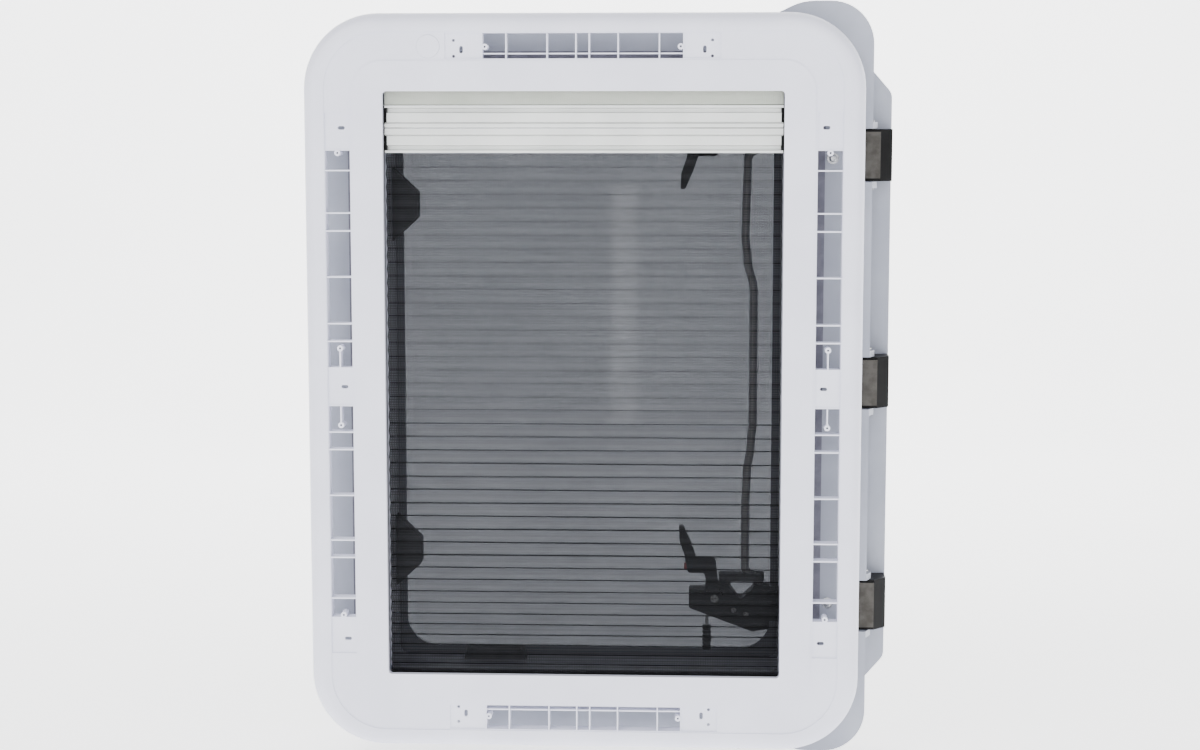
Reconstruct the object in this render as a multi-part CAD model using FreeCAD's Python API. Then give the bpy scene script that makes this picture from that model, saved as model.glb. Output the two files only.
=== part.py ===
import FreeCAD, Part
import math
import os

os.makedirs("parts", exist_ok=True)

# Roof window for a motor caravan, 500 x 700 mm cut-out, with pleated blinds. Millimetres.
# +X right seen from the cabin, +Y outward through the roof, +Z along the long side.
# Origin: centre of the ceiling screw slots, on the face of their pads.

# ---- driving dimensions -------------------------------------------------------------------
open_hw, open_hh = 212.0, 314.4          # half width and half height of the clear opening
trim_hw, trim_hh = 297.5, 396.5          # half sizes of the trim frame
trim_corner_r, trim_roll_r = 80.0, 16.0
face_y, ceiling_y = -2.4, 20.0           # trim face and the plane that meets the ceiling
skin, lip, lip_wall = 2.5, 3.0, 4.6      # moulding thickness, rail offset, wall round the opening
side_slot_x, side_slot_z = 256.0, 276.0  # ceiling screw slots, from the origin
end_slot_x, end_slot_z = 128.0, 357.7
slot_len, slot_w = 7.6, 3.8
groove_hw = 13.25                        # half width of the service grooves
groove_side_x, groove_side_end = 260.3, 292.0
groove_end_z, groove_end_end = 361.5, 145.3
pad_len, mid_pad_half = 40.0, 21.0
trough_depth, rib_t, band_depth = 14.0, 1.4, 1.0   # band_depth: shallow band round the grooves
side_ribs = (49.0, 68.0, 118.0, 167.0, 186.0, 231.0)
end_ribs = (7.0, 37.3, 80.5)

rail_back_y = 34.0                       # back of the blind cassette
bar_front_y, bar_back_y = 9.0, 24.0
bar_top, bar_split, bar_bottom = open_hh - 14.6, open_hh - 38.5, open_hh - 64.8
cap_gap, run_gap, hold_gap = 0.6, 0.05, 0.02
split_gap = 0.6                          # between the two blind bars
soft_gap = 0.4                           # between a blind and the bar that pulls it

wall_t, wall_top = 4.5, 96.0             # upstand
seat_y, flange_t, gasket_t, gasket_w = 55.0, 4.0, 3.0, 11.0
flange_hw, flange_hh, flange_right, flange_ear = 286.0, 388.0, 309.0, 411.0
spigot_hw, spigot_hh = 246.0, 346.0      # fits the 500 x 700 cut-out
seal_t = 5.0

sash_hw, sash_hh, sash_in = 262.0, 366.0, 7.0
sash_t, dome_rise, dome_t = 4.0, 30.0, 3.5
tongue_right, tongue_hh = 333.0, 322.0
hinge_x, hinge_y, hinge_pin_r = 309.0, 72.0, 3.0
hinge_z = (-247.0, 0.0, 247.0)
hinge_half, hinge_plate_half, lug_t = 28.0, 25.0, 7.0
hinge_side_gap = 0.5

bow_x, bow_y, bow_pin_r, bow_r = 192.0, 62.0, 4.0, 4.5   # bow pivot, journal, rod radius
bow_arm_t = 8.0
bracket_front, bracket_back = 52.0, 72.0
lever_x, lever_pin_r = 142.0, 3.0
lever_z = open_hh - 78.4                      # lever pin, a hand's room from the end wall
lever_y, lever_t = 38.0, 10.0
upper_shift, upper_lever_shift = 38.0, 55.0   # upper bracket and lever, out past a mirror image
plunger_x, plunger_y, plunger_r = 134.0, 59.0, 1.9


# ---- helpers ------------------------------------------------------------------------------
def vec(x, y, z):
    return FreeCAD.Vector(x, y, z)


def box(x0, x1, y0, y1, z0, z1):
    """Box between two corners."""
    return Part.makeBox(x1 - x0, y1 - y0, z1 - z0, vec(x0, y0, z0))


def rod(axis, radius, start, end, a, b):
    """Cylinder along X, Y or Z; a and b are its other two coordinates in X, Y, Z order."""
    base = {"X": vec(start, a, b), "Y": vec(a, start, b), "Z": vec(a, b, start)}[axis]
    way = {"X": vec(1, 0, 0), "Y": vec(0, 1, 0), "Z": vec(0, 0, 1)}[axis]
    return Part.makeCylinder(radius, end - start, base, way)


def fuse(shapes):
    """One clean solid from touching shapes."""
    shapes = list(shapes)
    return shapes[0].multiFuse(shapes[1:]).removeSplitter() if len(shapes) > 1 else shapes[0]


def prism(points, axis, start, end):
    """Extrude the corner list (u, v, corner radius) along an axis."""
    place = {"X": lambda p: vec(start, p.x, p.y), "Y": lambda p: vec(p.x, start, p.y),
             "Z": lambda p: vec(p.x, p.y, start)}[axis]
    way = {"X": vec(1, 0, 0), "Y": vec(0, 1, 0), "Z": vec(0, 0, 1)}[axis]
    corners = []
    for i, (u, v, radius) in enumerate(points):
        here = vec(u, v, 0)
        back = vec(points[i - 1][0], points[i - 1][1], 0) - here
        ahead = vec(points[(i + 1) % len(points)][0], points[(i + 1) % len(points)][1], 0) - here
        back.normalize()
        ahead.normalize()
        if radius <= 0:
            corners.append((here, None, here))
            continue
        half = back.getAngle(ahead) / 2
        middle = back + ahead
        middle.normalize()
        run = radius / math.tan(half)
        nose = here + middle * (radius / math.sin(half) - radius)
        corners.append((here + back * run, nose, here + ahead * run))
    edges = []
    for i, (first, nose, last) in enumerate(corners):
        if nose is not None:
            edges.append(Part.Arc(place(first), place(nose), place(last)).toShape())
        following = corners[(i + 1) % len(corners)][0]
        if (following - last).Length > 1e-6:
            edges.append(Part.makeLine(place(last), place(following)))
    return Part.Face(Part.Wire(edges)).extrude(way * (end - start))


def plate(hw, hh, radius, y0, y1):
    """Rounded rectangle in the XZ plane, centred on the origin."""
    return prism([(hw, hh, radius), (-hw, hh, radius), (-hw, -hh, radius), (hw, -hh, radius)],
                 "Y", y0, y1)


def ring(outer, inner, y0, y1):
    """Plate with a plate cut out; outer and inner are (half width, half height, radius)."""
    return plate(*outer, y0, y1).cut(plate(*inner, y0 - 1, y1 + 1))


def level_edges(shape, y):
    """Edges that lie in the plane at height y."""
    return [e for e in shape.Edges if all(abs(v.Point.y - y) < 1e-5 for v in e.Vertexes)]


def mirror_z(shape):
    return shape.mirror(vec(0, 0, 0), vec(0, 0, 1))


def raised(shape, shift):
    """The upper twin of a lower shape: mirrored in Z and moved up."""
    return mirror_z(shape).translated(vec(0, 0, shift))


def save(shape, node):
    shape.exportStep("parts/" + node + ".step")


# ---- trim frame ---------------------------------------------------------------------------
def screw_slot(x, z, along):
    """Slot through a pad, its length along X or Z."""
    run, r = (slot_len - slot_w) / 2, slot_w / 2
    dx, dz = (run, 0) if along == "X" else (0, run)
    ends = [rod("Y", r, -1, skin + 1, x + s * dx, z + s * dz) for s in (-1, 1)]
    web = box(x - max(dx, r * (dz > 0)), x + max(dx, r * (dz > 0)), -1, skin + 1,
              z - max(dz, r * (dx > 0)), z + max(dz, r * (dx > 0)))
    return fuse(ends + [web])


def trim_shell():
    """Rolled moulding with a hollow back, a lip round the opening and a shallow face band."""
    body = plate(trim_hw, trim_hh, trim_corner_r, face_y, ceiling_y)
    body = body.makeFillet(trim_roll_r, level_edges(body, face_y))
    body = body.cut(plate(open_hw, open_hh, 4, face_y - 1, ceiling_y + 1))
    wall = 11.0
    hollow = ring((trim_hw - wall, trim_hh - wall, trim_corner_r - wall),
                  (open_hw + lip_wall, open_hh + lip_wall, 6), face_y + skin, ceiling_y)
    outer = (groove_side_x + groove_hw + 0.8, groove_end_z + groove_hw + 1.5, 60)
    inner = (groove_side_x - groove_hw - 2.4, groove_end_z - groove_hw - 2.0, 33)
    behind_lip = plate(open_hw + lip_wall + 0.1, open_hh + lip_wall + 0.1, 6, rail_y0, ceiling_y + 1)
    return body.cut(hollow).cut(behind_lip).cut(ring(outer, inner, face_y - 1, face_y + band_depth))


def groove_side(sign):
    """Side groove: what to cut from the face and what to add (troughs, ribs, pads, bosses)."""
    x0, x1 = groove_side_x - groove_hw, groove_side_x + groove_hw
    inner_end = groove_side_end - pad_len
    top = face_y + 0.4
    cut, add = [box(x0, x1, face_y - 1, face_y + skin + 0.1, -groove_side_end, groove_side_end)], []
    for s in (-1, 1):
        lo, hi = sorted((s * mid_pad_half, s * inner_end))
        shell = box(x0 - rib_t, x1 + rib_t, face_y + skin - 1, trough_depth, lo - rib_t, hi + rib_t)
        add.append(shell.cut(box(x0, x1, face_y - 2, trough_depth + 1, lo, hi)))
        add += [box(x0, x1, top, trough_depth, s * z - rib_t / 2, s * z + rib_t / 2)
                for z in side_ribs]
        add.append(box(x0, x1, 0, skin, *sorted((s * inner_end, s * groove_side_end))))
        add.append(box(groove_side_x - 0.7, groove_side_x + 0.7, top, trough_depth,
                       *sorted((s * mid_pad_half, s * 41))))
    add.append(box(x0, x1, 0, skin, -mid_pad_half, mid_pad_half))
    holes = [screw_slot(side_slot_x, z, "X") for z in (-side_slot_z, 0, side_slot_z)]
    bosses = [(groove_side_x, s * z) for s in (-1, 1) for z in (41.5, inner_end - 2.4)]
    return finish_groove(cut, add, holes, bosses, sign)


def finish_groove(cut, add, holes, bosses, sign):
    """Add the screw bosses and mirror a groove to its side."""
    top = face_y + 0.4
    add += [rod("Y", 3.2, top, trough_depth, x, z) for x, z in bosses]
    holes += [rod("Y", 1.1, top - 1, trough_depth - 2, x, z) for x, z in bosses]
    solid = fuse(add).cut(fuse(holes))
    opening = fuse(cut)
    if sign < 0:
        solid, opening = (s.mirror(vec(0, 0, 0), vec(1, 0, 0)) for s in (solid, opening))
    return opening, solid


def groove_end(sign):
    """End groove, shorter, with two extra holes beside each screw slot."""
    z0, z1 = groove_end_z - groove_hw, groove_end_z + groove_hw
    inner_end = groove_end_end - pad_len
    top = face_y + 0.4
    cut = [box(-groove_end_end, groove_end_end, face_y - 1, face_y + skin + 0.1, z0, z1)]
    shell = box(-inner_end - rib_t, inner_end + rib_t, face_y + skin - 1, trough_depth,
                z0 - rib_t, z1 + rib_t)
    add = [shell.cut(box(-inner_end, inner_end, face_y - 2, trough_depth + 1, z0, z1))]
    add += [box(s * x - rib_t / 2, s * x + rib_t / 2, top, trough_depth, z0, z1)
            for s in (-1, 1) for x in end_ribs]
    add.append(box(-inner_end, inner_end, top + 3, trough_depth - rib_t, z0 + 4.5, z0 + 5.9))
    add += [box(*sorted((s * inner_end, s * groove_end_end)), 0, skin, z0, z1) for s in (-1, 1)]
    holes = [screw_slot(s * end_slot_x, end_slot_z, "Z") for s in (-1, 1)]
    holes += [rod("Y", 1.6, -1, skin + 1, s * (end_slot_x + 8), end_slot_z + dz)
              for s in (-1, 1) for dz in (-7, 9.5)]
    bosses = [(s * (inner_end - 2.4), groove_end_z - 1) for s in (-1, 1)]
    opening, solid = finish_groove(cut, add, holes, bosses, 1)
    return (opening, solid) if sign > 0 else (mirror_z(opening), mirror_z(solid))


plug_x, plug_z, plug_r = -163.0, groove_end_z - 0.5, 12.2


def trim_frame():
    shell = trim_shell()
    for opening, solid in (groove_side(-1), groove_side(1), groove_end(-1), groove_end(1)):
        shell = shell.cut(opening).fuse(solid)
    shell = shell.cut(rod("Y", plug_r + 0.2, face_y - 1, face_y + 1.4, plug_x, plug_z))
    return shell.removeSplitter()


flange_screw_x, flange_screw_z = 266.5, (-243.7, 243.7)


def flange_screws():
    """Domed screws with washers under the flange, beside the outer hinges."""
    floor = seat_y
    screws = []
    for z in flange_screw_z:
        head = rod("Y", 4.2, floor - 3.6, floor - 1, flange_screw_x, z)
        head = head.makeFillet(2.2, level_edges(head, floor - 3.6))
        washer = rod("Y", 6.2, floor - 1, floor, flange_screw_x, z)
        shank = rod("Y", 2.5, floor, floor + flange_t + 3, flange_screw_x, z)
        screws.append(fuse([head, washer, shank]))
    return Part.makeCompound(screws)


def plug():
    disc = rod("Y", plug_r, face_y + 0.2, face_y + 1.4, plug_x, plug_z)
    return disc.makeFillet(0.5, level_edges(disc, face_y + 0.2))


# ---- blind cassette -----------------------------------------------------------------------
rail_y0 = 5.0
chan_y0, chan_y1 = bar_front_y - 1.4, bar_back_y + 1.4
rail_in, rail_web = open_hw + lip, open_hw + lip + 6.0
end_z = open_hh + lip + 13.0


def guide_rail(sign):
    """Side channel, open towards the blinds."""
    body = box(rail_in, rail_web + 2, rail_y0, rail_back_y, -end_z, end_z)
    body = body.cut(box(rail_in - 1, rail_web, chan_y0, chan_y1, -end_z - 1, end_z + 1))
    return body if sign > 0 else body.mirror(vec(0, 0, 0), vec(1, 0, 0))


def head_rail():
    """Top channel, open downward round the folded blackout blind."""
    body = box(-rail_in, rail_in, rail_y0, rail_back_y, open_hh + lip, end_z)
    return body.cut(box(-rail_in - 1, rail_in + 1, chan_y0, chan_y1, open_hh, end_z - 2))


lip_w, recess_end, seam_at, seam_w = 2.8, 7.4, 18.6, 1.2   # along the bar section, from its lip
recess_d, seam_d, land_d = 9.0, 5.0, 1.5                   # their depths from the bar's front
end_step_w, end_step_d = 2.2, 10.0                         # black step at each end of a bar


def bar_profile(top, bottom, lip_z):
    """Blind bar section: a thin lip at lip_z, a deep recess, a land, a seam and a front band."""
    s = 1 if lip_z == top else -1
    front, far = bar_front_y, bottom + top - lip_z
    seam_in, seam_out = lip_z - s * (seam_at - seam_w / 2), lip_z - s * (seam_at + seam_w / 2)
    return [(front + 0.5, lip_z, 0.4), (front + 0.5, lip_z - s * lip_w, 0.4),
            (front + recess_d, lip_z - s * (lip_w + 0.6), 0), (front + recess_d, lip_z - s * recess_end, 0),
            (front + land_d, lip_z - s * (recess_end + 0.5), 0.6), (front + land_d, seam_in, 0.4),
            (front + seam_d, seam_in, 0), (front + seam_d, seam_out, 0), (front, seam_out, 0.5),
            (front, far, 0.5), (bar_back_y, far, 0.5), (bar_back_y, lip_z, 0.5)]


bar_hw = open_hw - 0.8
upper_low, lower_high = bar_split + split_gap / 2, bar_split - split_gap / 2


def end_step(sign, lip_z, way, y0):
    """Room at a bar's end, between its lip and its seam, where the black cap shows."""
    x0, x1 = sorted((sign * (bar_hw - end_step_w), sign * bar_hw))
    z0, z1 = sorted((lip_z - way * lip_w, lip_z - way * (seam_at - seam_w / 2)))
    return box(x0, x1, y0, bar_front_y + end_step_d, z0, z1)


def bar(top, bottom, lip_z):
    way = 1 if lip_z == top else -1
    body = prism(bar_profile(top, bottom, lip_z), "X", -bar_hw, bar_hw)
    return body.cut(fuse([end_step(s, lip_z, way, bar_front_y - 1) for s in (-1, 1)]))


def bar_caps(top, bottom, lip_z):
    """Black end caps that run in the side channels and fill the steps at the bar's ends."""
    way = 1 if lip_z == top else -1
    caps = []
    for s in (-1, 1):
        x0, x1 = sorted((s * bar_hw, s * (rail_web - 1)))
        runner = box(x0, x1, chan_y0 + cap_gap, chan_y1 - cap_gap, bottom + 0.6, top - 0.6)
        caps.append(fuse([runner, end_step(s, lip_z, way, bar_front_y + land_d)]))
    return Part.makeCompound(caps)


def insect_screen():
    return box(-bar_hw, bar_hw, 16, 18, 2.4 - end_z, bar_bottom - soft_gap)


def blackout_blind():
    return box(-bar_hw, bar_hw, bar_front_y + 1, bar_back_y - 1, bar_top + soft_gap, end_z - 2.4)


# ---- outer frame --------------------------------------------------------------------------
def flange_outline(grow, y0, y1):
    """Flange, wider at the hinge side where two ears carry the hinge line."""
    g = grow
    half = [(-flange_hw - g, 72), (flange_hw - 101 + g, 60), (flange_hw - 54, 60),
            (flange_right + g, 46)]
    zs = (flange_hh + g, flange_hh + g, flange_ear + g, flange_ear + g)
    top = [(x, z, r) for (x, r), z in zip(half, zs)]
    low = [(x, -z, r) for x, z, r in reversed(top)]
    return prism(top + low, "Y", y0, y1)


shaft_hw, shaft_hh = open_hw + 1, open_hh + 1.6        # inside of the upstand


def upstand_block(y0, y1):
    """Outside of the upstand's wall, solid, between two heights."""
    return plate(shaft_hw + wall_t, shaft_hh + wall_t, 16, y0, y1)


def upstand():
    """Wall round the shaft, with the rim that the seal sits on."""
    rim = plate(shaft_hw + 14, shaft_hh + 14, 26, wall_top - 4, wall_top)
    bore = plate(shaft_hw, shaft_hh, 12, rail_back_y - 1, wall_top + 1)
    return fuse([upstand_block(rail_back_y, wall_top), rim]).cut(bore)


def spigot():
    """Ring that drops into the roof cut-out."""
    return ring((spigot_hw, spigot_hh, 30), (spigot_hw - 3, spigot_hh - 3, 27), seat_y - 17, seat_y)


def outer_flange():
    """Weather flange round the upstand, with the ears that carry the hinge lugs."""
    body = flange_outline(0, seat_y, seat_y + flange_t).cut(upstand_block(seat_y - 1, wall_top))
    for z in flange_screw_z:
        body = body.cut(rod("Y", 2.5 + run_gap, seat_y - 1, seat_y + 10, flange_screw_x, z))
    notch = hinge_half + hinge_side_gap + 0.5
    reach = hinge_half + hinge_side_gap + lug_t
    for z in hinge_z:
        body = body.cut(box(297, flange_right + 5, seat_y - 1, seat_y + 10, z - notch, z + notch))
        for a, b in ((z - reach, z - reach + lug_t), (z + reach - lug_t, z + reach)):
            body = body.fuse(prism([(hinge_x - 12, seat_y + 0.5, 0), (hinge_x, seat_y + 0.5, 0),
                                    (hinge_x + 6, hinge_y - 4, 3), (hinge_x + 6, hinge_y + 6, 5.5),
                                    (hinge_x - 6, hinge_y + 6, 5.5)], "Z", a, b))
        body = body.cut(rod("Z", hinge_pin_r + hold_gap, z - reach - 1, z + reach + 1,
                            hinge_x, hinge_y))
    return body.removeSplitter()


def hinge_pins():
    reach = hinge_half + hinge_side_gap + lug_t + 2
    return Part.makeCompound([rod("Z", hinge_pin_r, z - reach, z + reach, hinge_x, hinge_y)
                              for z in hinge_z])


def roof_gasket():
    return ring((spigot_hw + 1 + gasket_w, spigot_hh + 1 + gasket_w, 42),
                (spigot_hw + 1, spigot_hh + 1, 31), seat_y - gasket_t, seat_y)


def sash_seal():
    return ring((shaft_hw + 13, shaft_hh + 13, 24), (shaft_hw + 5, shaft_hh + 5, 17),
                wall_top, wall_top + seal_t - 0.3)


def wall_buffers():
    """Dark rest buffers on the left wall and one on the bottom wall."""
    wall, floor, y0, y1 = -shaft_hw, -shaft_hh, 72, 92
    side = [prism([(wall, z + 40, 0), (wall + 28, z + 14, 5), (wall + 28, z - 14, 5),
                   (wall, z - 40, 0)], "Y", y0, y1) for z in (-193, 193)]
    low = prism([(-138, floor, 0), (-68, floor, 0), (-72, floor + 12.6, 6),
                 (-134, floor + 12.6, 6)], "Y", y0, y1)
    return Part.makeCompound(side + [low])


# ---- sash ---------------------------------------------------------------------------------
sash_y = wall_top + seal_t
frame_top = sash_y + sash_t


def sash_frame():
    """Rim ring with the hinge-side tongue."""
    body = plate(sash_hw, sash_hh, 60, sash_y, frame_top)
    tongue = prism([(sash_hw - 40, tongue_hh + 22, 0), (tongue_right - 26, tongue_hh + 22, 14),
                    (tongue_right, tongue_hh - 8, 14), (tongue_right, 8 - tongue_hh, 14),
                    (tongue_right - 26, -tongue_hh - 22, 14), (sash_hw - 40, -tongue_hh - 22, 0)],
                   "Y", sash_y, frame_top)
    hole = plate(open_hw - sash_in, open_hh - sash_in, 34, sash_y - 1, frame_top + 1)
    return fuse([body, tongue]).cut(hole)


def dome(hw, hh, radius, rise, t, roll):
    """Open-bottomed bubble of even thickness."""
    outer = plate(hw, hh, radius, frame_top, frame_top + rise)
    outer = outer.makeFillet(roll, level_edges(outer, frame_top + rise))
    inner = plate(hw - t, hh - t, radius - t, frame_top, frame_top + rise - t)
    inner = inner.makeFillet(roll - t, level_edges(inner, frame_top + rise - t))
    return outer.cut(inner)


def dome_outer():
    return dome(sash_hw - 3, sash_hh - 3, 57, dome_rise, dome_t, 22)


def dome_inner():
    return dome(sash_hw - 24, sash_hh - 24, 40, 12, 2.5, 8)


def hinge_bodies():
    """Black blocks under the tongue, bored for the hinge pins."""
    blocks = []
    for z in hinge_z:
        block = prism([(hinge_x - 10, hinge_y - 10, 1), (hinge_x + 9, hinge_y - 10, 1),
                       (hinge_x + 23, hinge_y + 4, 3), (hinge_x + 23, sash_y, 0),
                       (hinge_x - 10, sash_y, 0)], "Z", z - hinge_half, z + hinge_half)
        blocks.append(block.cut(rod("Z", hinge_pin_r + run_gap, z - hinge_half - 1,
                                    z + hinge_half + 1, hinge_x, hinge_y)))
    return Part.makeCompound(blocks)


def hinge_plates():
    return Part.makeCompound([box(hinge_x - 9, hinge_x + 9, hinge_y - 11.8, hinge_y - 10,
                                  z - hinge_plate_half, z + hinge_plate_half) for z in hinge_z])


# ---- bow, brackets and levers (the lower set, which the upper one repeats) -------------------
def bow_rod(grow=0.0):
    """Rod along Z with an offset middle and both ends bent to the pivot line."""
    radius = bow_r + grow
    tip, bend = lever_z - 14, lever_z - 29
    xs = ((tip + upper_shift, bow_x), (bend + upper_shift, 175.5), (159, 173.5), (135, 176),
          (100, 183), (-45, 183), (-68, 181), (-100, 177), (-140, 175.5), (-bend, 175.5),
          (-tip, bow_x))
    nodes = [vec(x, bow_y, z) for z, x in xs]
    parts = [Part.makeSphere(radius, p) for p in nodes]
    for a, b in zip(nodes, nodes[1:]):
        parts.append(Part.makeCylinder(radius, (b - a).Length, a, b - a))
    journal = rod("Z", bow_pin_r, -tip - 33, 1 - tip, bow_x, bow_y)
    parts += [journal, raised(journal, upper_shift)]
    return fuse(parts)


def bow_arm():
    """Short lift arm clamped on the bent end of the bow."""
    z1 = 24 - lever_z
    z0 = z1 - bow_arm_t
    arm = prism([(147, bow_y - 8, 3), (bow_x + 5, bow_y - 8, 3), (bow_x + 5, bow_y + 8, 3),
                 (147, bow_y + 8, 5)], "Z", z0, z1)
    return arm


def set_prism(points, y0, y1):
    """Extrude along Y a corner list whose z is measured from the lower lever pin."""
    return prism([(x, z - lever_z, r) for x, z, r in points], "Y", y0, y1)


def bracket(lever_at):
    """Black bearing block with a wall foot, a U notch and bores; its lever pin is at lever_at."""
    body = set_prism([(114, 7, 2), (131, 7, 1), (134, 13.5, 1), (157, 13.5, 1), (170, -5, 5),
                      (183, 7, 1), (186, 11.5, 1), (203, 11.5, 1), (203, -37, 3),
                      (183.5, -40, 3), (114, -14, 3)], bracket_front, bracket_back)
    foot = box(202, shaft_hw, bracket_front + 8, bracket_back + 14, -30 - lever_z, 4 - lever_z)
    body = fuse([body, foot])
    body = body.cut(rod("Z", bow_pin_r + run_gap, -20 - lever_z, 16 - lever_z, bow_x, bow_y))
    body = body.cut(rod("Z", plunger_r + run_gap, -54 - lever_z, -lever_z, plunger_x, plunger_y))
    body = body.cut(rod("Y", lever_pin_r + hold_gap, bracket_front - 1, bracket_front + 12,
                        lever_x, lever_at))
    for x, z in bracket_screw_at:
        body = body.cut(rod("Y", 1.5 + hold_gap, bracket_front - 1, bracket_front + 8, x, z - lever_z))
    return body


bracket_screw_at = ((163.5, -16.0), (177.0, -21.0))   # z from the lever pin


def bracket_screws():
    screws = []
    for x, dz in bracket_screw_at:
        z = dz - lever_z
        head = rod("Y", 2.9, bracket_front - 1.8, bracket_front, x, z)
        head = head.makeFillet(1.1, level_edges(head, bracket_front - 1.8))
        screws.append(fuse([head, rod("Y", 1.5, bracket_front, bracket_front + 7, x, z)]))
    return screws


def lever_pin():
    y = lever_y - 2.4
    head = rod("Y", 4.6, y, y + 2.0, lever_x, -lever_z)
    head = head.makeFillet(0.8, level_edges(head, y))
    return fuse([head, rod("Y", lever_pin_r, y + 2, bracket_front + 11, lever_x, -lever_z)])


button_z, button_h, button_d = 35.0, 8.0, 6.0         # button_z from the lever pin
button_out, button_in, button_travel = 108.5, 119.0, 2.5
pocket_gap = 0.3


def lever():
    """Z-shaped hand lever with a hub and a pocket for its button."""
    body = set_prism([(103, 80, 1), (108, 80, 2), (116, 62, 10), (122, 45, 2), (143, 45, 5),
                      (148, 0, 2), (136, 0, 2), (131, 28, 3), (113, 28, 3), (109, 48, 8),
                      (103.5, 64, 10)], lever_y, lever_y + lever_t)
    hub = rod("Y", 9.5, lever_y, bracket_front - 0.4, lever_x, -lever_z)
    body = fuse([body, hub])
    body = body.cut(rod("Y", lever_pin_r + run_gap, lever_y - 1, bracket_front + 1,
                        lever_x, -lever_z))
    reach_y, reach_z = button_d / 2 + pocket_gap, button_h / 2 + pocket_gap
    mid, z = lever_y + lever_t / 2, button_z - lever_z
    return body.cut(box(button_out - 1, button_in + button_travel + 0.5, mid - reach_y,
                        mid + reach_y, z - reach_z, z + reach_z))


def button():
    mid, z = lever_y + lever_t / 2, button_z - lever_z
    body = box(button_out, button_in, mid - button_d / 2, mid + button_d / 2,
               z - button_h / 2, z + button_h / 2)
    return body.makeFillet(1.0, [e for e in body.Edges
                                 if all(abs(v.Point.x - button_out) < 1e-5 for v in e.Vertexes)])


knob_top, knob_len, groove_pitch = -35.0, 27.0, 4.4    # z from the lever pin


def plunger():
    return rod("Z", plunger_r, knob_top - lever_z, -8 - lever_z, plunger_x, plunger_y)


def plunger_knob():
    """Grooved pull knob."""
    low = knob_top - knob_len - lever_z
    knob = rod("Z", 4.8, low, knob_top - lever_z, plunger_x, plunger_y)
    for k in range(5):
        z = low + 4 + groove_pitch * k
        band = rod("Z", 6, z, z + 1.6, plunger_x, plunger_y)
        knob = knob.cut(band.cut(rod("Z", 4.0, z, z + 1.6, plunger_x, plunger_y)))
    return knob


# ---- write one file per node ----------------------------------------------------------------
save(trim_frame(), "trim_frame")
save(plug(), "blank_plug")
save(flange_screws(), "flange_screws")
save(guide_rail(-1), "guide_rail_left")
save(guide_rail(1), "guide_rail_right")
save(head_rail(), "head_rail")
save(mirror_z(head_rail()), "sill_rail")
save(insect_screen(), "insect_screen")
save(blackout_blind(), "blackout_blind")
save(bar(bar_top, upper_low, bar_top), "blackout_bar")
save(bar_caps(bar_top, upper_low, bar_top), "blackout_bar_caps")
save(bar(lower_high, bar_bottom, bar_bottom), "screen_bar")
save(bar_caps(lower_high, bar_bottom, bar_bottom), "screen_bar_caps")
save(upstand(), "upstand")
save(outer_flange(), "outer_flange")
save(spigot(), "cutout_spigot")
save(roof_gasket(), "roof_gasket")
save(sash_seal(), "sash_seal")
save(wall_buffers(), "wall_buffers")
save(hinge_pins(), "hinge_pins")
save(sash_frame(), "sash_frame")
save(dome_outer(), "dome_outer")
save(dome_inner(), "dome_inner")
save(hinge_bodies(), "hinge_bodies")
save(hinge_plates(), "hinge_plates")
save(bow_rod(), "bow_rod")
bored = bow_rod(hold_gap)
save(Part.makeCompound([arm.cut(bored) for arm in (bow_arm(), raised(bow_arm(), upper_shift))]),
     "bow_arms")
save(Part.makeCompound(bracket_screws() + [raised(s, upper_shift) for s in bracket_screws()]),
     "bracket_screws")
save(Part.makeCompound([lever_pin(), raised(lever_pin(), upper_lever_shift)]), "lever_pins")
save(bracket(-lever_z), "bracket_lower")
save(raised(bracket(upper_shift - upper_lever_shift - lever_z), upper_shift), "bracket_upper")
save(lever(), "lever_lower")
save(raised(lever(), upper_lever_shift), "lever_upper")
save(button(), "button_lower")
save(raised(button(), upper_lever_shift), "button_upper")
save(plunger(), "plunger_pin")
save(plunger_knob(), "plunger_knob")
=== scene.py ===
# %% [markdown]
# # A caravan roof window
# The window stands upright, cabin side towards the camera. The hard parts arrive from the packed
# model with exact shapes and only need finishes. The two pleated blinds and the bent bow are
# modelled here, because cloth folds and a smooth bend are what surfaces on a grid do best.

# %% Load the frame
import math

import bpy
import numpy as np
from mathutils import Matrix, Vector


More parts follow.
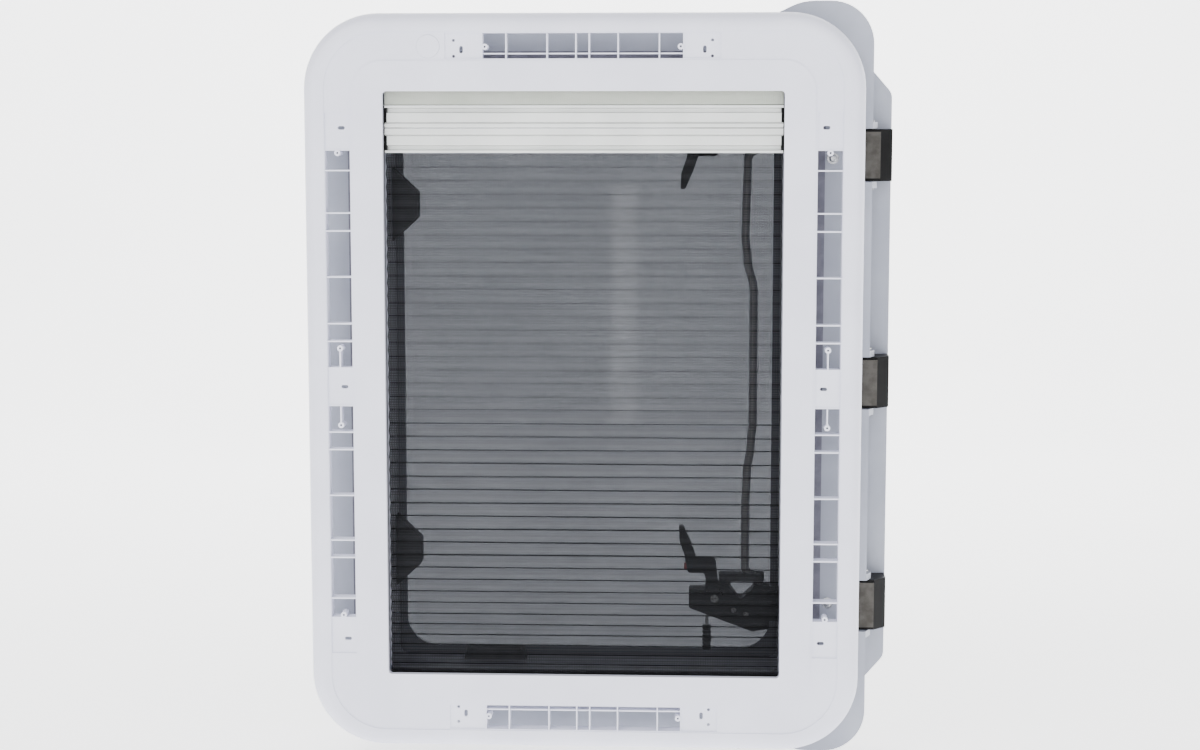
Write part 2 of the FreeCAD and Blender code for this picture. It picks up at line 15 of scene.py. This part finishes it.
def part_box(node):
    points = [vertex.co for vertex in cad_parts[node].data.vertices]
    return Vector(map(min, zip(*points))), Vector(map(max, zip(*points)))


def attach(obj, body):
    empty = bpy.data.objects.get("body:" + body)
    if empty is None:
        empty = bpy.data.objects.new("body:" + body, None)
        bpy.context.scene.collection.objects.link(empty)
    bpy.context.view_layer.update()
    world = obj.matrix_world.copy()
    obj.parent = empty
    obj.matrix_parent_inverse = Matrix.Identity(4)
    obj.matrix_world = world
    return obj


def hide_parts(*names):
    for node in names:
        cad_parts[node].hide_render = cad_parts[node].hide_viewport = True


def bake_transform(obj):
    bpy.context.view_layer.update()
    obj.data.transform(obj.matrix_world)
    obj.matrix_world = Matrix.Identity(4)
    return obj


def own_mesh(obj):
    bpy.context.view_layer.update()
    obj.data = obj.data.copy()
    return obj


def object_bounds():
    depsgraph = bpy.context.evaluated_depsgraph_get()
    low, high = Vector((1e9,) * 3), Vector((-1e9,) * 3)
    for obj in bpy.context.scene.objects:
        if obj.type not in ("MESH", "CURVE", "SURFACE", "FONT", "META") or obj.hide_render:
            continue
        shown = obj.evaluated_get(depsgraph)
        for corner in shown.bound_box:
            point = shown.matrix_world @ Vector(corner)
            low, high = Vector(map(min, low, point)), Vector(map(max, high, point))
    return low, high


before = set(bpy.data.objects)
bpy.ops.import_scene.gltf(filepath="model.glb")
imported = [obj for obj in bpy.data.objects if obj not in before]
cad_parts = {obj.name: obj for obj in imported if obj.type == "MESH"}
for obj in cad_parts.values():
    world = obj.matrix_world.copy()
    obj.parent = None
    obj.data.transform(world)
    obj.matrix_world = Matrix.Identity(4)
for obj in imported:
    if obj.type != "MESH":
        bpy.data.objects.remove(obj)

cad_low, cad_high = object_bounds()
print("CAD box, metres:", [round(float(v), 3) for v in (*cad_low, *cad_high)])

# %% [markdown]
# ## Two small tools for materials
# Colours are written as sRGB hex, the way a paint chart gives them, and turned to the linear
# numbers that the renderer multiplies. A single function adds a node and wires its inputs.


# %% Colour and node helpers
def linear(code, alpha=1.0):
    """Linear RGBA of an sRGB hex code: c / 12.92 up to 0.04045, and
    ((c + 0.055) / 1.055) ** 2.4 above it."""
    c = np.array([int(code[i:i + 2], 16) for i in (0, 2, 4)]) / 255
    c = np.where(c <= 0.04045, c / 12.92, ((c + 0.055) / 1.055) ** 2.4)
    return (*(float(v) for v in c), alpha)


def add(tree, kind, inputs=None, **settings):
    """Add one node: settings are its properties, inputs are values or sockets by input name."""
    made = tree.nodes.new("ShaderNode" + kind)
    for key, value in settings.items():
        setattr(made, key, value)
    for key, value in (inputs or {}).items():
        if isinstance(value, bpy.types.NodeSocket):
            tree.links.new(value, made.inputs[key])
        else:
            made.inputs[key].default_value = value
    return made


def start(name):
    """A new material with its tree and its Principled shader."""
    made = bpy.data.materials.new(name)
    made.use_nodes = True
    return made, made.node_tree, made.node_tree.nodes["Principled BSDF"]


def ramp(tree, factor, stops):
    """Colour ramp through (position, colour) stops."""
    made = add(tree, "ValToRGB", {"Fac": factor})
    while len(made.color_ramp.elements) < len(stops):
        made.color_ramp.elements.new(0.5)
    for element, (place, colour) in zip(made.color_ramp.elements, stops):
        element.position, element.color = place, colour
    return made.outputs["Color"]


def spread(tree, value, low, high):
    """Value from 0..1 spread to low..high."""
    return add(tree, "MapRange", {"Value": value, "To Min": low, "To Max": high}).outputs[0]


print("helpers ready")

# %% [markdown]
# ## One recipe for moulded and metal surfaces
# Nearly every hard surface varies in two ways: broad cloudy patches, from handling and dust, and
# a fine grain, from the mould's spark erosion or from brushing. Both are noise on Object
# coordinates, in real millimetres. Stretching the grain along one axis makes a brushed metal.
# gloss is the strength of the clear reflection, weaker on filled nylon and rubber than on ABS.


# %% The surface recipe
PLASTIC_IOR = 1.5


def surface(name, light, dark, patch, grain, bump, rough, metallic=0.0, stretch=(1, 1, 1),
            gloss=0.5):
    """Two-colour finish. patch and grain are noise sizes and bump a height, all in millimetres."""
    made, tree, shader = start(name)
    place = add(tree, "TexCoord").outputs["Object"]
    drawn = add(tree, "Mapping", {"Vector": place, "Scale": stretch}).outputs["Vector"]
    cloud = add(tree, "TexNoise", {"Vector": place, "Scale": 1000 / patch, "Detail": 4.0})
    fine = add(tree, "TexNoise", {"Vector": drawn, "Scale": 1000 / grain, "Detail": 2.0})
    tree.links.new(ramp(tree, cloud.outputs["Fac"], [(0.36, linear(dark)), (0.64, linear(light))]),
                   shader.inputs["Base Color"])
    tree.links.new(spread(tree, fine.outputs["Fac"], *rough), shader.inputs["Roughness"])
    relief = add(tree, "Bump", {"Height": fine.outputs["Fac"], "Distance": bump / 1000,
                                "Strength": 0.6})
    tree.links.new(relief.outputs["Normal"], shader.inputs["Normal"])
    shader.inputs["Metallic"].default_value = metallic
    if not metallic:
        shader.inputs["IOR"].default_value = PLASTIC_IOR
        shader.inputs["Specular IOR Level"].default_value = gloss
    return made


def dress(finish, *nodes):
    """Give CAD nodes a finish."""
    for node in nodes:
        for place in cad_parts[node].material_slots:
            place.material = finish
    print(finish.name, "on", ", ".join(nodes))


# %% [markdown]
# ## White and grey mouldings
# The trim frame and the upstand are injection-moulded ABS, a cool white with a very fine
# spark-eroded grain that softens its highlights. The flange and the sash rim are the same plastic,
# slightly coarser, in a grey darkened as painted shade for the shaded gap seen through the grooves
# and for the rim turned from the light. The blind rails sit in shadow and are grey.

# %% Moulded ABS
white_abs = surface("white_moulded_ABS", "e6e7f4", "dfe0ee", 90, 0.8, 0.03, (0.34, 0.46))
# Grey darkened as painted shade, for the shaded gap behind the grooves and the shaded rim.
outer_abs_painted_shade = surface("grey_ABS_with_painted_shade", "a6aab6", "9a9eab", 70, 1.0, 0.04, (0.36, 0.5))
rail_abs = surface("grey_moulded_ABS_rail", "a8a8b0", "9a9aa3", 60, 1.0, 0.04, (0.45, 0.6))
dress(white_abs, "trim_frame", "blank_plug", "upstand")
dress(outer_abs_painted_shade, "outer_flange", "cutout_spigot", "sash_frame")
dress(rail_abs, "guide_rail_left", "guide_rail_right", "head_rail", "sill_rail")

# %% [markdown]
# ## Nylon, rubber and the red buttons
# Levers, brackets and caps are black glass-filled nylon: dark, slightly cloudy and rough. The
# seal is black EPDM rubber. The wall buffers are duller still, in a grey that is painted shade for
# the dark patches of shade on the shaft wall. The roof gasket is grey butyl foam. The release
# buttons are glossy red acetal.

# %% Nylon, rubber and acetal
black_nylon = surface("black_glass_filled_nylon", "0a0a0b", "050506", 20, 0.6, 0.04, (0.36, 0.52),
                      gloss=0.12)
butyl = surface("grey_butyl_foam", "7c7b86", "6f6e79", 12, 1.2, 0.08, (0.7, 0.85), gloss=0.2)
rubber = surface("black_EPDM_rubber", "2b2c2f", "1f2022", 15, 0.9, 0.05, (0.6, 0.8), gloss=0.25)
acetal = surface("red_moulded_acetal", "c3121a", "a60d14", 8, 0.5, 0.01, (0.2, 0.3))
dress(black_nylon, "blackout_bar_caps", "screen_bar_caps", "hinge_bodies", "bow_arms",
      "bracket_lower", "bracket_upper", "lever_lower", "lever_upper", "plunger_knob")
# Grey painted shade: the buffers stand for the dark patches of shade on the shaft wall.
buffer_grey_painted_shade = surface("grey_buffer_painted_shade", "66676c", "57585d", 15, 0.9, 0.05, (0.6, 0.8),
                        gloss=0.25)
dress(rubber, "sash_seal")
dress(buffer_grey_painted_shade, "wall_buffers")
dress(butyl, "roof_gasket")
dress(acetal, "button_lower", "button_upper")

# %% [markdown]
# ## Metals
# The blind bars are extruded aluminium, anodised: die lines run along X and blur reflections.
# The hinge plates are rolled stainless with water stains. Screws and pins are zinc plated.

# %% Anodised, stainless and zinc
anodised = surface("anodised_extruded_aluminium", "dcdedb", "d0d2cf", 60, 1.2, 0.02, (0.3, 0.42),
                   0.85, (0.02, 1, 1))
stainless = surface("stained_rolled_stainless", "4b4946", "3d3b38", 9, 1.0, 0.02, (0.32, 0.5),
                    0.9, (1, 1, 0.05))
zinc = surface("zinc_plated_steel", "c9cacb", "a9aaac", 5, 0.6, 0.01, (0.2, 0.34), 1.0)
satin = surface("satin_anodised_rod", "c4c5c7", "b2b3b5", 30, 0.8, 0.01, (0.28, 0.4), 0.8,
                (1, 1, 0.1))
dress(anodised, "blackout_bar", "screen_bar")
dress(stainless, "hinge_plates")
dress(zinc, "flange_screws", "hinge_pins", "bracket_screws", "lever_pins", "plunger_pin")

# %% [markdown]
# ## The acrylic dome
# Blown acrylic is clear with polished faces, IOR 1.49, and a light smoke tint against the sun.
# Light passes through both skins, so it is a true transmitting shader, with faint dust in its
# roughness.


# %% Blown acrylic
def blown_acrylic():
    """Clear shader whose roughness drifts from polished to slightly dusty."""
    made, tree, shader = start("blown_smoked_acrylic")
    place = add(tree, "TexCoord").outputs["Object"]
    dust = add(tree, "TexNoise", {"Vector": place, "Scale": 1000 / 120, "Detail": 5.0})
    tint = ramp(tree, dust.outputs["Fac"], [(0.3, linear("b4b6ba")), (0.7, linear("babcc0"))])
    tree.links.new(tint, shader.inputs["Base Color"])
    tree.links.new(spread(tree, dust.outputs["Fac"], 0.0, 0.05), shader.inputs["Roughness"])
    shader.inputs["Transmission Weight"].default_value = 1.0
    shader.inputs["IOR"].default_value = 1.49
    return made


dress(blown_acrylic(), "dome_outer", "dome_inner")

# %% [markdown]
# ## Making a mesh from a grid
# Every new piece is a grid of points, rows by columns, worked out as whole arrays. The helper
# joins neighbours into quads. A wrapped grid closes on itself, as round a tube.


# %% Grid to mesh
def grid_piece(name, points, finish, wrap=False, uv=None):
    """Mesh of the point grid (rows, columns, 3); uv is an optional (rows, columns, 2) grid."""
    rows, cols = points.shape[:2]
    index = np.arange(rows * cols).reshape(rows, cols)
    here = index if wrap else index[:, :-1]
    right = np.roll(index, -1, 1) if wrap else index[:, 1:]
    quads = np.stack([here[:-1], right[:-1], right[1:], here[1:]], -1).reshape(-1, 4)
    caps = [index[0, ::-1].tolist(), index[-1].tolist()] if wrap else []
    mesh = bpy.data.meshes.new(name)
    mesh.from_pydata(points.reshape(-1, 3).tolist(), [], quads.tolist() + caps)
    if uv is not None:
        layer = mesh.uv_layers.new(name="cloth")
        corner = np.empty(len(mesh.loops), int)
        mesh.loops.foreach_get("vertex_index", corner)
        layer.data.foreach_set("uv", uv.reshape(-1, 2)[corner].astype(np.float32).ravel())
    mesh.materials.append(finish)
    mesh.update()
    made = bpy.data.objects.new(name, mesh)
    bpy.context.scene.collection.objects.link(made)
    print(name, len(mesh.polygons), "faces")
    return made


# %% [markdown]
# ## Pleated cloth
# A pleated blind is one flat sheet folded to and fro. Down the sheet the depth is a triangle
# wave, one period a pleat. The insect screen's pleats hang open and close up towards the sill,
# where the spare cloth rests.


# %% The pleat function
def fold_rows(count, nose=0.0):
    """Place 0..1 and side (+1 back, -1 front) of each row. A fold's front is a flat nose that
    takes the given share of the pitch, or a single sharp row where nose is 0."""
    if not nose:
        row = np.arange(2 * count + 1)
        return row / row[-1], np.where(row % 2, -1.0, 1.0)
    offsets = np.array([0.0, 0.5 - nose / 2, 0.5 + nose / 2])
    place = (np.arange(count)[:, None] + offsets).ravel()
    return np.append(place, count) / count, np.append(np.tile([1.0, -1.0, -1.0], count), 1.0)


def pleats(heights, side, depth, middle, half_width, columns, waver):
    """Grid whose row k lies at heights[k], shifted side[k] * depth from the middle plane. waver
    bows each fold by a slow sine along the width. Also gives the length down the cloth."""
    x = np.linspace(-half_width, half_width, columns)
    k = np.arange(len(heights))
    bow = waver * np.sin(9 * x[None] + 1.7 * k[:, None]) * np.sin(np.pi * k / k[-1])[:, None]
    points = np.empty((len(k), columns, 3))
    points[..., 0] = x
    points[..., 1] = (middle + side * depth)[:, None]
    points[..., 2] = heights[:, None] + bow
    step = np.linalg.norm(np.diff(points[:, 0], axis=0), axis=1)
    length = np.concatenate([[0], np.cumsum(step)])
    return points, length


# %% [markdown]
# ## Insect screen cloth
# The screen is black glass-fibre mesh, about 1.4 mm a thread. Threads that fine blur away at this
# distance, so they are drawn 2.6 mm apart. The gaps let light by, so the pattern drives alpha, and
# each fold, where the cloth doubles, reads as a dark line that strengthens towards the sill.

# %% Screen weave
THREAD, PLEAT_LINE = 0.0026, 0.1
screen_low, screen_high = (float(v) for v in (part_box("insect_screen")[0][2],
                                              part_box("insect_screen")[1][2]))


def pulse(tree, value, period, width):
    """1 within width / 2 of each multiple of period, else 0."""
    wave = add(tree, "Math", {0: value, 1: period / 2}, operation="PINGPONG").outputs[0]
    return add(tree, "Math", {0: wave, 1: width / 2}, operation="LESS_THAN").outputs[0]


def screen_weave():
    """Alpha is 0.74 in the gaps, 0.86 on threads and up to 1 on the folds."""
    made, tree, shader = start("woven_glass_fibre_mesh")
    uv = add(tree, "UVMap", uv_map="cloth").outputs["UV"]
    split = add(tree, "SeparateXYZ", {"Vector": uv})
    place = add(tree, "TexCoord").outputs["Object"]
    height = add(tree, "SeparateXYZ", {"Vector": place}).outputs["Z"]
    across = pulse(tree, split.outputs["X"], THREAD, THREAD * 0.45)
    along = pulse(tree, height, THREAD, THREAD * 0.45)
    thread = add(tree, "Math", {0: across, 1: along}, operation="MAXIMUM").outputs[0]
    fold = pulse(tree, split.outputs["Y"], 1.0, PLEAT_LINE)
    low = add(tree, "MapRange", {"Value": height, "From Min": -0.02, "From Max": screen_low,
                                 "To Min": 0.14, "To Max": 1.0}).outputs[0]
    line = add(tree, "Math", {0: fold, 1: low}, operation="MULTIPLY").outputs[0]
    body = add(tree, "Math", {0: thread, 1: 0.12, 2: 0.74}, operation="MULTIPLY_ADD").outputs[0]
    alpha = add(tree, "Math", {0: line, 1: 0.5, 2: body}, operation="MULTIPLY_ADD",
                use_clamp=True).outputs[0]
    tree.links.new(alpha, shader.inputs["Alpha"])
    tree.links.new(ramp(tree, line, [(0.0, linear("16171a")), (1.0, linear("060607"))]),
                   shader.inputs["Base Color"])
    shader.inputs["Roughness"].default_value = 0.8
    shader.inputs["Specular IOR Level"].default_value = 0.2
    return made


# %% Screen piece
PLEATS, PITCH_TOP, PITCH_LOW = 42, 14.6, 10.4           # count, and spacings in millimetres
PLEAT_DEPTH, PLEAT_MIDDLE, PLEAT_WAVER = 0.0032, 0.017, 0.0003
number = np.arange(PLEATS)
late = np.clip((number - 26) / 15, 0, 1)
pitch = PITCH_TOP + (PITCH_LOW - PITCH_TOP) * late * late * (3 - 2 * late)
fall = np.concatenate([[0], np.cumsum(np.repeat(pitch / 2, 2))])
screen_z = screen_high - (screen_high - screen_low) * fall / fall[-1]
half_width = float(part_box("insect_screen")[1][0])
points, length = pleats(screen_z, fold_rows(PLEATS)[1], PLEAT_DEPTH, PLEAT_MIDDLE, half_width, 33,
                        PLEAT_WAVER)
phase = np.arange(len(screen_z)) / 2
uv = np.stack(np.broadcast_arrays(points[..., 0], phase[:, None]), -1)
screen_cloth = grid_piece("insect_screen_cloth", points, screen_weave(), uv=uv)
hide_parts("insect_screen")
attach(screen_cloth, "frame")
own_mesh(screen_cloth)
print("screen cloth", round(2 * half_width, 3), "by", round(float(length[-1]), 3), "m")

# %% [markdown]
# ## Blackout cloth
# The blackout blind is folded up under the head rail: pale green-beige polyester, opaque. It
# must draw out evenly when its bar comes down. Blending moves a point by the smoothstep of its
# height, so the folds are placed part way to the inverse smoothstep, and open to near-equal
# pleats. A stacked fold shows a flat nose at the front, which catches the light.


# %% Blackout weave
def blackout_weave():
    """Fine plain weave in bump, with a soft sheen and slow dye variation."""
    made, tree, shader = start("woven_blackout_polyester")
    place = add(tree, "TexCoord").outputs["Object"]
    dye = add(tree, "TexNoise", {"Vector": place, "Scale": 1000 / 45, "Detail": 3.0})
    tone = ramp(tree, dye.outputs["Fac"], [(0.35, linear("d3d9cb")), (0.65, linear("dce0d4"))])
    tree.links.new(tone, shader.inputs["Base Color"])
    yarn = add(tree, "TexWave", {"Vector": place, "Scale": 1000 / 1.2 / 6.28, "Distortion": 0.6})
    relief = add(tree, "Bump", {"Height": yarn.outputs["Fac"], "Distance": 0.0002, "Strength": 0.5})
    tree.links.new(relief.outputs["Normal"], shader.inputs["Normal"])
    shader.inputs["Roughness"].default_value = 0.75
    shader.inputs["Sheen Weight"].default_value = 0.2
    return made


# %% Blackout piece
FOLDS, FOLD_DEPTH, FOLD_MIDDLE = 44, 0.0058, 0.0165      # depth is half a fold, in metres
stack_low, stack_high = (float(v) for v in (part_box("blackout_blind")[0][2],
                                            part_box("blackout_blind")[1][2]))
even, side = fold_rows(FOLDS, nose=0.6)
placed = 0.6 * even + 0.4 * (0.5 - np.sin(np.arcsin(1 - 2 * even) / 3))
stack_z = stack_high - (stack_high - stack_low) * placed
points, length = pleats(stack_z, side, FOLD_DEPTH, FOLD_MIDDLE, half_width, 9, 0.0)
blackout_cloth = grid_piece("blackout_cloth", points, blackout_weave())
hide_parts("blackout_blind")
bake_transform(blackout_cloth)
print("blackout cloth", round(2 * half_width, 3), "by", round(float(length[-1]), 3), "m")

# %% [markdown]
# ## The bow
# The bow is a satin rod bent cold, so its bends are smooth. A circle is carried along a curve
# through the bend points. The path stays in one plane, which keeps the circle's frame simple.


# %% Bow tube
def bow_tube(stations, depth, radius, sides=24, steps=12):
    """Circle of the radius carried along the path. Between stations x follows a cosine blend:
    x = a + (b - a)(1 - cos(pi t)) / 2, and z runs straight."""
    z, x = np.array(stations, float).T / 1000
    t = np.linspace(0, 1, steps, endpoint=False)
    blend = (1 - np.cos(np.pi * t)) / 2
    path_z = np.append((z[:-1, None] + np.diff(z)[:, None] * t).ravel(), z[-1])
    path_x = np.append((x[:-1, None] + np.diff(x)[:, None] * blend).ravel(), x[-1])
    way = np.stack([np.gradient(path_x), np.gradient(path_z)], -1)
    way /= np.linalg.norm(way, axis=1, keepdims=True)
    turn = np.linspace(0, 2 * np.pi, sides, endpoint=False)
    out = radius * np.cos(turn)
    points = np.empty((len(path_z), sides, 3))
    points[..., 0] = path_x[:, None] - way[:, 1:] * out
    points[..., 1] = depth + radius * np.sin(turn)
    points[..., 2] = path_z[:, None] + way[:, :1] * out
    return points


BOW_STATIONS = ((293, 192), (260.5, 192), (244, 175.5), (159, 173.5), (135, 176), (100, 183),
                (-45, 183), (-68, 181), (-100, 177), (-140, 175.5), (-206, 175.5), (-222.5, 192),
                (-255, 192))
BOW_RADIUS, JOURNAL_RADIUS = 0.0045, 0.004
PIVOT_X, PIVOT_Y = 0.192, 0.062
JOURNAL_TOP, JOURNAL_LOW, JOURNAL_STEP = 0.2595, -0.2215, 0.002
tube = bow_tube(BOW_STATIONS, PIVOT_Y, BOW_RADIUS)
height = tube[..., 2]
past_bend = np.maximum(height - JOURNAL_TOP, JOURNAL_LOW - height)
journal = np.clip(past_bend / JOURNAL_STEP, 0, 1)[..., None]
centre = np.array([PIVOT_X, PIVOT_Y])
shrink = 1 - journal * (1 - JOURNAL_RADIUS / BOW_RADIUS)
tube[..., :2] = centre + (tube[..., :2] - centre) * shrink
bow = grid_piece("bow_rod_bent", tube, satin, wrap=True)
for face in bow.data.polygons:
    face.use_smooth = len(face.vertices) == 4
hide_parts("bow_rod")
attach(bow, "bow")

# %% [markdown]
# ## Stage, light and camera
# A pale curved sweep, lit from behind like a light table, has no horizon line. The sky of the
# booth is brightest on the cabin side, so rolled edges that turn away fall off in tone. Narrow
# strip lamps behind the camera draw the long soft reflections in the flat acrylic.

# %% Stage
SWEEP_BASE, PAPER_GLOW = float(cad_low[2]) - 0.001, 1.6
across = np.linspace(-6, 6, 3)
run = np.concatenate([np.linspace(-5, 2, 8), 2 + 1.5 * np.sin(np.linspace(0.1, np.pi / 2, 16)),
                      np.full(4, 3.5)])
rise = np.concatenate([np.zeros(8), 1.5 - 1.5 * np.cos(np.linspace(0.1, np.pi / 2, 16)),
                       np.linspace(2, 5, 4)])
sweep_points = np.empty((len(run), 3, 3))
sweep_points[..., 0], sweep_points[..., 1] = across[None], run[:, None]
sweep_points[..., 2] = (SWEEP_BASE + rise)[:, None]
sweep = grid_piece("sweep", sweep_points, surface("matt_white_paper", "fbfbfb", "f8f8f8", 400, 3,
                                                  0.01, (0.85, 0.95)))
for face in sweep.data.polygons:
    face.use_smooth = True
paper = sweep.data.materials[0].node_tree.nodes["Principled BSDF"].inputs
paper["Emission Color"].default_value = linear("ffffff")
paper["Emission Strength"].default_value = PAPER_GLOW

# %% Light
SKY_AROUND, SKY_CABIN_SIDE = 0.45, 2.3
sky = bpy.data.worlds.new("booth")
bpy.context.scene.world = sky
sky.use_nodes = True
booth = sky.node_tree
way = add(booth, "SeparateXYZ", {"Vector": add(booth, "TexCoord").outputs["Generated"]})
facing = add(booth, "MapRange", {"Value": way.outputs["Y"], "From Min": 0.0, "From Max": -0.95,
                                 "To Min": SKY_AROUND, "To Max": SKY_CABIN_SIDE}).outputs[0]
booth.nodes["Background"].inputs["Color"].default_value = linear("fbfcff")
booth.links.new(facing, booth.nodes["Background"].inputs["Strength"])


def panel(name, place, aim, size, power):
    """Rectangular soft lamp at place, turned to face aim."""
    lamp = bpy.data.lights.new(name, "AREA")
    lamp.shape, (lamp.size, lamp.size_y), lamp.energy = "RECTANGLE", size, power
    made = bpy.data.objects.new(name, lamp)
    made.location = place
    made.rotation_euler = (Vector(aim) - Vector(place)).to_track_quat("-Z", "Y").to_euler()
    bpy.context.scene.collection.objects.link(made)


panel("key", (-1.7, -1.9, 2.2), (0, 0, 0), (1.2, 1.2), 40)
panel("fill", (2.2, -1.8, 0.6), (0, 0, 0), (1.4, 1.8), 10)
panel("backdrop", (0, 1.2, 2.2), (0, 3.4, 0.4), (3, 1), 110)
panel("strip", (-0.05, -2.5, -0.19), (0, 0, 0.05), (0.06, 0.7), 3.2)
panel("strip_near", (0.035, -2.5, -0.05), (0, 0, 0.05), (0.008, 0.9), 0.25)
panel("strip_far", (0.075, -2.5, -0.05), (0, 0, 0.05), (0.006, 0.9), 0.2)

# %% Camera
AZIMUTH, ELEVATION, DISTANCE = math.radians(2.63), math.radians(6.55), 2.2
AIM = Vector((0.01828, 0, 0.01413))
right = Vector((math.cos(AZIMUTH), math.sin(AZIMUTH), 0))
forward = Vector((-math.sin(AZIMUTH) * math.cos(ELEVATION),
                  math.cos(AZIMUTH) * math.cos(ELEVATION), -math.sin(ELEVATION)))
up = right.cross(forward)
lens = bpy.data.cameras.new("camera")
lens.sensor_width, lens.lens = 36.0, 61.86
camera = bpy.data.objects.new("camera", lens)
turn = Matrix((right, up, -forward)).transposed().to_4x4()
camera.matrix_world = Matrix.Translation(AIM - forward * DISTANCE) @ turn
bpy.context.scene.collection.objects.link(camera)
bpy.context.scene.camera = camera
